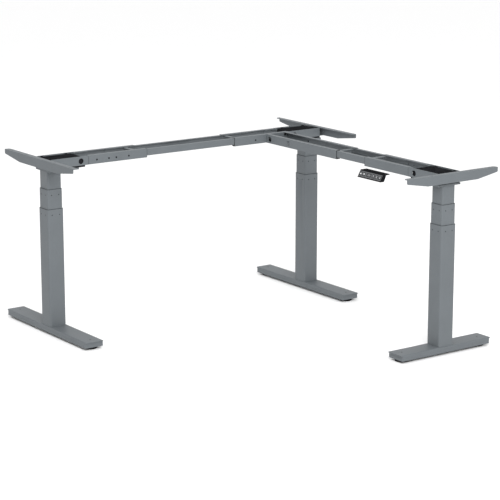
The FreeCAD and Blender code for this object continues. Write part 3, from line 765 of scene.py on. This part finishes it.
def face_matrix():
    """Key face: x along the handset, y up the slope, z out of the face."""
    low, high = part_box("handset")
    up = Vector((SLOPE_BACK, 0.0, SLOPE_UP)).normalized()
    along = Vector((0.0, -1.0, 0.0))
    out = along.cross(up)
    turn = Matrix((along, up, out)).transposed().to_4x4()
    return Matrix.Translation((low.x, (low.y + high.y) / 2, low.z)) @ turn


def rounded_plate(width, height, corner, low, high, centre):
    """bmesh of a plate with rounded corners."""
    work = bmesh.new()
    outline = rounded_outline(width / 2, height / 2, corner, PLATE_STEPS, centre)
    bottom = [work.verts.new((x, y, low)) for x, y in outline]
    top = [work.verts.new((x, y, high)) for x, y in outline]
    work.faces.new(list(reversed(bottom)))
    work.faces.new(top)
    skin(work, bottom, top)
    return work


def text_mesh(letters, size):
    """bmesh of a raised number, centred on the origin."""
    curve = bpy.data.curves.new("number", "FONT")
    curve.body = letters
    curve.size = size
    curve.extrude = TEXT_DEPTH
    curve.align_x = "CENTER"
    curve.align_y = "CENTER"
    holder = bpy.data.objects.new("number", curve)
    bpy.context.scene.collection.objects.link(holder)
    depsgraph = bpy.context.evaluated_depsgraph_get()
    mesh = bpy.data.meshes.new_from_object(holder.evaluated_get(depsgraph))
    work = bmesh.new()
    work.from_mesh(mesh)
    bpy.data.meshes.remove(mesh)
    bpy.data.objects.remove(holder)
    bpy.data.curves.remove(curve)
    return work


def triangle_mesh(size, direction):
    """bmesh of a raised arrow head."""
    work = bmesh.new()
    base = ARROW_BASE * size * direction
    points = [(-size, base), (size, base), (0.0, ARROW_TIP * size * direction)]
    face = work.faces.new([work.verts.new((x, y, 0.0)) for x, y in points])
    grown = bmesh.ops.extrude_face_region(work, geom=[face])
    raised = [item for item in grown["geom"] if isinstance(item, bmesh.types.BMVert)]
    bmesh.ops.translate(work, vec=(0, 0, ARROW_DEPTH), verts=raised)
    bmesh.ops.recalc_face_normals(work, faces=work.faces)
    return work


def fascia_mesh(middle):
    """bmesh of the fascia, with openings for the keys and the window."""
    cuts = [(spot * MM, KEY_OPENING) for spot in KEY_SPOTS.values()]
    cuts.append((WINDOW_SPOT, WINDOW_OPENING))
    xs = sorted([-FASCIA_HALF, FASCIA_HALF]
                + [spot + side * half for spot, half in cuts for side in (-1, 1)])
    ys = [middle + reach for reach in (-FASCIA_REACH, -OPENING_REACH, OPENING_REACH, FASCIA_REACH)]

    def opening(i, j):
        return j == 1 and any(abs((xs[i] + xs[i + 1]) / 2 - spot) < half for spot, half in cuts)

    return pierced_plate(xs, ys, opening, *FASCIA_LEVELS)


def handset_look():
    """Shell, fascia with openings, display window, key caps and their marks."""
    softened("handset", "top_return", "handset", SHELL_BEND, SHELL_EDGE)
    face = face_matrix()
    middle = math.hypot(SLOPE_BACK, SLOPE_UP) / 2 * MM
    fascia = joined([(fascia_mesh(middle), face)], "handset_fascia", "fascia")
    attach(fascia, "top_return")
    window_mesh = rounded_plate(*WINDOW, (WINDOW_SPOT, middle))
    window = from_bmesh("handset_window", window_mesh, "glass")
    placed(window, face, "top_return")
    digits = from_bmesh("handset_digits", text_mesh("888", DIGIT_SIZE), "digit")
    digits_spot = face @ Matrix.Translation((WINDOW_SPOT, middle, DIGIT_LEVEL))
    placed(digits, digits_spot, "top_return")
    marks = {"up": triangle_mesh(ARROW_SIZE, 1), "down": triangle_mesh(ARROW_SIZE, -1)}
    for name, (number, size) in NUMBERS.items():
        marks[name] = text_mesh(number, size)
    for name, offset in KEY_SPOTS.items():
        body = "key_" + name + "_body"
        cap_mesh = rounded_plate(*KEY_CAP, (offset * MM, middle))
        cap = from_bmesh("cap_" + name, cap_mesh, "key")
        bevel_edges(cap, KEY_EDGE, 3)
        placed(cap, face, body)
        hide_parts("key_" + name)
        mark = from_bmesh("mark_" + name, marks[name], "mark")
        spot = face @ Matrix.Translation((offset * MM, middle, MARK_LEVEL))
        placed(mark, spot, body)


handset_look()


# ---------------------------------------------------------------- floor, light and camera

def stage():
    """Pale floor, white sky and two soft lamps."""
    work = lathe_mesh([(0.0, 0.0), (FLOOR_RADIUS, 0.0)], FLOOR_SIDES)
    mesh = bpy.data.meshes.new("floor")
    work.to_mesh(mesh)
    work.free()
    floor = bpy.data.objects.new("floor", mesh)
    bpy.context.scene.collection.objects.link(floor)
    material, tree, principled = shader("floor_pale", FLOOR)
    principled.inputs["Roughness"].default_value = FLOOR_ROUGHNESS
    coords = tree.nodes.new("ShaderNodeTexCoord").outputs["Object"]
    clouds = noise(tree, coords, FLOOR_CLOUDS)
    tree.links.new(tinted(tree, clouds, scaled(FLOOR, FLOOR_DARK_SHARE), FLOOR),
                   principled.inputs["Base Color"])
    mesh.materials.append(material)
    world = bpy.data.worlds.new("studio")
    world.use_nodes = True
    sky = world.node_tree.nodes["Background"]
    sky.inputs["Color"].default_value = SKY
    sky.inputs["Strength"].default_value = SKY_STRENGTH
    bpy.context.scene.world = world
    for name, (place, size, power) in LAMPS.items():
        lamp = bpy.data.lights.new(name, "AREA")
        lamp.shape = "SQUARE"
        lamp.size = size
        lamp.energy = power
        holder = bpy.data.objects.new(name, lamp)
        holder.location = place
        aim = Vector(LAMP_AIM) - Vector(place)
        holder.rotation_euler = aim.to_track_quat("-Z", "Y").to_euler()
        bpy.context.scene.collection.objects.link(holder)


def camera():
    """Camera on a long lens, in front and to the left of the frame."""
    azimuth = math.radians(CAMERA_AZIMUTH)
    elevation = math.radians(CAMERA_ELEVATION)
    forward = Vector((math.sin(azimuth) * math.cos(elevation),
                      math.cos(azimuth) * math.cos(elevation), -math.sin(elevation)))
    lens = bpy.data.cameras.new("camera")
    lens.lens = CAMERA_LENS
    lens.sensor_width = CAMERA_SENSOR
    lens.clip_end = CAMERA_CLIP_END
    holder = bpy.data.objects.new("camera", lens)
    holder.location = CAMERA_TARGET - forward * CAMERA_DISTANCE
    holder.rotation_euler = forward.to_track_quat("-Z", "Y").to_euler()
    bpy.context.scene.collection.objects.link(holder)
    bpy.context.scene.camera = holder


stage()
camera()
bpy.context.scene.view_settings.view_transform = "Standard"
